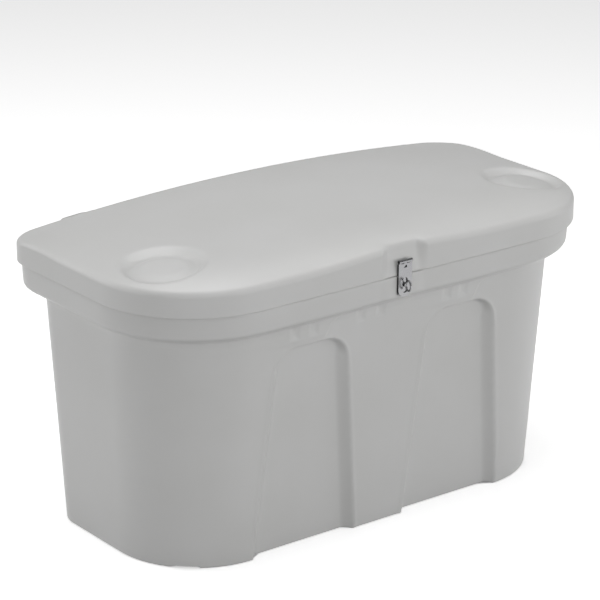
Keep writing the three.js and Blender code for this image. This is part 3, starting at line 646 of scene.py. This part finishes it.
def grip(x, y):
    """How far the skin is sunk in a round grip: a wall down from the rim, then a smaller round
    island that leans, and sits a little off the middle to leave the moat widest on its high side."""
    inwards, back = (GRIP_X - np.abs(x)) / GRIP_RADIUS, (y - GRIP_Y) / GRIP_RADIUS
    sunk = soft_ramp(1 - np.hypot(inwards, back), GRIP_WALL, GRIP_SOFTNESS)
    towards = ISLAND_SIDE[0] * inwards + ISLAND_SIDE[1] * back
    r = np.hypot(inwards + ISLAND_SHIFT * ISLAND_SIDE[0], back + ISLAND_SHIFT * ISLAND_SIDE[1])
    height = np.clip(ISLAND_HEIGHT + ISLAND_TILT * towards, 0, 1)
    return GRIP_DEPTH * (sunk - height * soft_ramp(ISLAND_RADIUS - r, ISLAND_WALL, ISLAND_SOFTNESS))


def lid_height(x, y, distance):
    """Height of the skin at a distance in from the edge: the edge height rises to the dome as
    1 - exp(-distance / reach), a quarter circle rounds the edge, and the grips are sunk."""
    edge = edge_height(x, y)
    skin = edge + (dome(x, y) - edge) * (1 - np.exp(-distance / CROWN_REACH))
    inside = np.clip(EDGE_RADIUS - distance, 0, EDGE_RADIUS)
    rounded = EDGE_RADIUS - np.sqrt(EDGE_RADIUS ** 2 - inside ** 2)
    return skin - rounded - grip(x, y)


def edge_distance(x, y, plan=LID_PLAN):
    """Distance in from the plan's outline: to the nearer straight side, or in a corner the radius
    less the distance to the corner's centre."""
    half, front, rear, front_r, rear_r = plan
    straight = np.minimum(half - np.abs(x), np.minimum(y - front, rear - y))
    front_x, front_y = np.abs(x) - (half - front_r), (front + front_r) - y
    rear_x, rear_y = np.abs(x) - (half - rear_r), y - (rear - rear_r)
    d = np.where((front_x > 0) & (front_y > 0), front_r - np.hypot(front_x, front_y), straight)
    return np.where((rear_x > 0) & (rear_y > 0), rear_r - np.hypot(rear_x, rear_y), d)


print("dome height at the middle and near a rear corner:", dome(0, 0), np.round(dome(440, 240), 1))

# %% Make the lid


def pocketed(x, y, z, distance):
    """y with the latch pocket pressed in: deepest at the top edge, fading down the skirt and away
    over the top."""
    share = np.clip((z - LID_BOTTOM_Z) / (LID_EDGE_Z - LID_BOTTOM_Z), 0, 1)
    at_seam = LATCH_FACE_Y + LID_HALF_DEPTH
    depth = at_seam + (POCKET_DEPTH - at_seam) * share
    return y + (SIDE == 0) * on_latch(x) * depth * np.exp(-np.maximum(distance, 0) / POCKET_REACH)


def top_rings(distances, lowered):
    """Rings of the top at these distances in from the edge, lowered for the underside."""
    x, y = ring_points(inset(LID_PLAN, distances))
    d = np.broadcast_to(np.asarray(distances, float)[:, None], x.shape)
    z = lid_height(x, y, d) - lowered
    return np.stack([x, pocketed(x, y, z, d), z], -1)


def inner_top_rings(ring, shares, lowered):
    """The rest of the top: the last ring drawn in to the middle, at the lid's own height."""
    drawn = centre_rings(ring, shares)
    x, y = drawn[..., 0], drawn[..., 1]
    z = lid_height(x, y, edge_distance(x, y)) - lowered
    return np.stack([x, y, z], -1)


def skirt_rings(shares, thickness):
    """The skirt from its lower edge up to where the rounding starts."""
    n = len(shares)
    x, y = ring_points(inset(LID_PLAN, np.full(n, thickness)))
    top = edge_height(x, y) - EDGE_RADIUS - (thickness > 0) * SKIRT_ROUND
    low = LID_BOTTOM_Z + SKIRT_ROUND
    z = low + (top - low) * np.asarray(shares)[:, None]
    below_pad_top = smooth(PAD_TOP_Z - z, 0, PAD_TOP_FADE)
    pad = (SIDE == 4) * on_pad(x) * (PAD_FACE_Y - LID_PLAN[2]) * below_pad_top
    y = pocketed(x, y, z, np.zeros_like(z)) + pad
    return np.stack([x, y, z], -1)


def lower_edge_rings(lip):
    """The round lower edge: copies of the skirt's lowest ring, each moved in and set to its height."""
    plain_y = ring_points(inset(LID_PLAN, [0]))[1][0]
    for inwards, rise in LOWER_EDGE:
        x, y = ring_points(inset(LID_PLAN, [inwards]))
        yield np.stack([x[0], lip[:, 1] + y[0] - plain_y, np.full(len(lip), LID_BOTTOM_Z + rise)], -1)


def make_lid():
    """Rings from the middle of the underside out, down inside the skirt, round its lower edge, up
    outside, over the rounded edge, and in to the middle of the top."""
    shares = np.linspace(0, 1, 24)
    outer = skirt_rings(shares, 0.0)
    inner = skirt_rings(shares[::-3], WALL)
    lower = list(lower_edge_rings(outer[0]))
    turn = np.linspace(0, np.pi / 2, 9)[1:-1]
    edge_in = EDGE_RADIUS * (1 - np.cos(turn))
    top = top_rings(np.concatenate([edge_in, EDGE_STEPS]), 0.0)
    crown = inner_top_rings(top[-1], np.linspace(0, 1, 84)[1:-1], 0.0)
    under_near = top_rings([40, 30, 20, 12], WALL)
    under = inner_top_rings(under_near[0], np.linspace(0.97, 0.08, 12), WALL)
    rings = [under, under_near, inner, lower, outer, top, crown]
    return ring_mesh("lid_shell", np.concatenate(rings))


lid_shell = make_lid()
lid_shell.data.materials.append(polyethylene)
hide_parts("lid")
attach(lid_shell, "lid_body")
print("lid faces:", len(lid_shell.data.polygons))

# %% [markdown]
# ## Metal and foam
# The hinges, the hasp and their fasteners keep their CAD meshes: their shapes are right, and only
# their finish was missing. The foam seal is hidden while the lid is shut.

# %% Finish the CAD pieces
for name, node in nodes.items():
    if name in ("tub", "lid"):
        continue
    node.data.materials.clear()
    node.data.materials.append(foam if name == "rim_seal" else stainless)
print("finished", len(nodes) - 2, "CAD pieces")

# %% [markdown]
# ## Floor, light and camera
# A white floor, two broad lights overhead, and five smaller ones beside the chest. Most of those are
# low enough to shine in under the flange, where the light from above doesn't reach.

# %% The stage
FLOOR_REACH = 16.0
FLOOR_BOUNCE = 0.4  # the floor looks white, but throws back only this share of the light
FLOOR_LIFT = 0.5  # glow added where the floor is seen or mirrored, so that it stays pale far away


def make_floor():
    """A white floor of one square face, brighter to the camera and in mirrors than it is as a
    source of bounced light."""
    corners = FLOOR_REACH * np.array([(-1, -1, 0), (1, -1, 0), (1, 1, 0), (-1, 1, 0)], float)
    floor = mesh_object("floor", corners, np.array([[0, 1, 2, 3]]), np.zeros((0, 3), int))
    material = bpy.data.materials.new("floor_white")
    material.use_nodes = True
    tree = material.node_tree
    shader = tree.nodes["Principled BSDF"]
    path = tree.nodes.new("ShaderNodeLightPath").outputs
    seen = math_node(tree, "MAXIMUM", path["Is Camera Ray"], path["Is Glossy Ray"])
    tone = colour_between(tree, seen, (FLOOR_BOUNCE,) * 3, (0.95,) * 3)
    tree.links.new(tone, shader.inputs["Base Color"])
    glow = math_node(tree, "MULTIPLY", seen, FLOOR_LIFT)
    tree.links.new(glow, shader.inputs["Emission Strength"])
    shader.inputs["Emission Color"].default_value = (1, 1, 1, 1)
    shader.inputs["Roughness"].default_value = 0.9
    shader.inputs["Specular IOR Level"].default_value = 0.1
    floor.data.materials.append(material)


def soft_light(name, place, aim, size, power):
    """A rectangular area light at place that faces aim."""
    light = bpy.data.lights.new(name, "AREA")
    light.shape = "RECTANGLE"
    light.size, light.size_y = size
    light.energy = power
    lamp = bpy.data.objects.new(name, light)
    lamp.location = place
    lamp.rotation_euler = (Vector(aim) - Vector(place)).to_track_quat("-Z", "Y").to_euler()
    bpy.context.scene.collection.objects.link(lamp)


# Name, place, height aimed at, size and watts
LIGHTS = (
    ("overhead", (0, 0.2, 3.4), 0.3, (3.0, 2.4), 70),
    ("overhead_front", (0.0, -2.6, 3.2), 0.4, (3.0, 2.0), 13),
    ("end", (-3.8, 0.5, 0.7), 0.3, (2.0, 2.0), 22),
    ("end_rear", (-2.6, 3.0, 1.6), 0.3, (2.0, 2.0), 36),
    ("front", (1.2, -3.8, 0.5), 0.3, (2.0, 2.0), 44),
    ("front_far", (3.4, -2.0, 0.6), 0.3, (2.0, 2.0), 25),
    ("camera_side", (-2.6, -3.2, 1.0), 0.3, (2.0, 2.0), 24),
)
AMBIENT = 0.142

make_floor()
for name, place, aim_z, size, watts in LIGHTS:
    soft_light(name, place, (0, 0, aim_z), size, watts)

world = bpy.data.worlds.new("studio")
world.use_nodes = True
background = world.node_tree.nodes["Background"]
background.inputs["Color"].default_value = (1, 1, 1, 1)
background.inputs["Strength"].default_value = AMBIENT
bpy.context.scene.world = world
bpy.context.scene.view_settings.view_transform = "Standard"
print("lights:", len(LIGHTS), "watts:", sum(light[-1] for light in LIGHTS))

# %% The camera
AZIMUTH, ELEVATION, ROLL = np.radians([-37.753, 19.926, 0.399])
DISTANCE = 4989.6
AIM = np.array([-36.7, 0.0, 380.7])
LENS = 165.16


def place_camera():
    """The camera stands DISTANCE back from AIM along its azimuth and elevation, turned by ROLL."""
    right = np.array([np.cos(AZIMUTH), np.sin(AZIMUTH), 0.0])
    level = np.array([np.sin(AZIMUTH), -np.cos(AZIMUTH), 0.0])
    back = level * np.cos(ELEVATION) + np.array([0.0, 0.0, np.sin(ELEVATION)])
    up = np.cross(back, right)
    turned_right = right * np.cos(ROLL) + up * np.sin(ROLL)
    turned_up = up * np.cos(ROLL) - right * np.sin(ROLL)
    place = metres(AIM + back * DISTANCE)
    camera = bpy.data.objects.new("camera", bpy.data.cameras.new("camera"))
    camera.data.lens = LENS
    camera.data.sensor_width = 36.0
    axes = Matrix(np.stack([turned_right, turned_up, back], 1).tolist()).to_4x4()
    camera.matrix_world = Matrix.Translation(Vector(place)) @ axes
    bpy.context.scene.collection.objects.link(camera)
    bpy.context.scene.camera = camera
    return place


print("camera at", np.round(place_camera(), 3))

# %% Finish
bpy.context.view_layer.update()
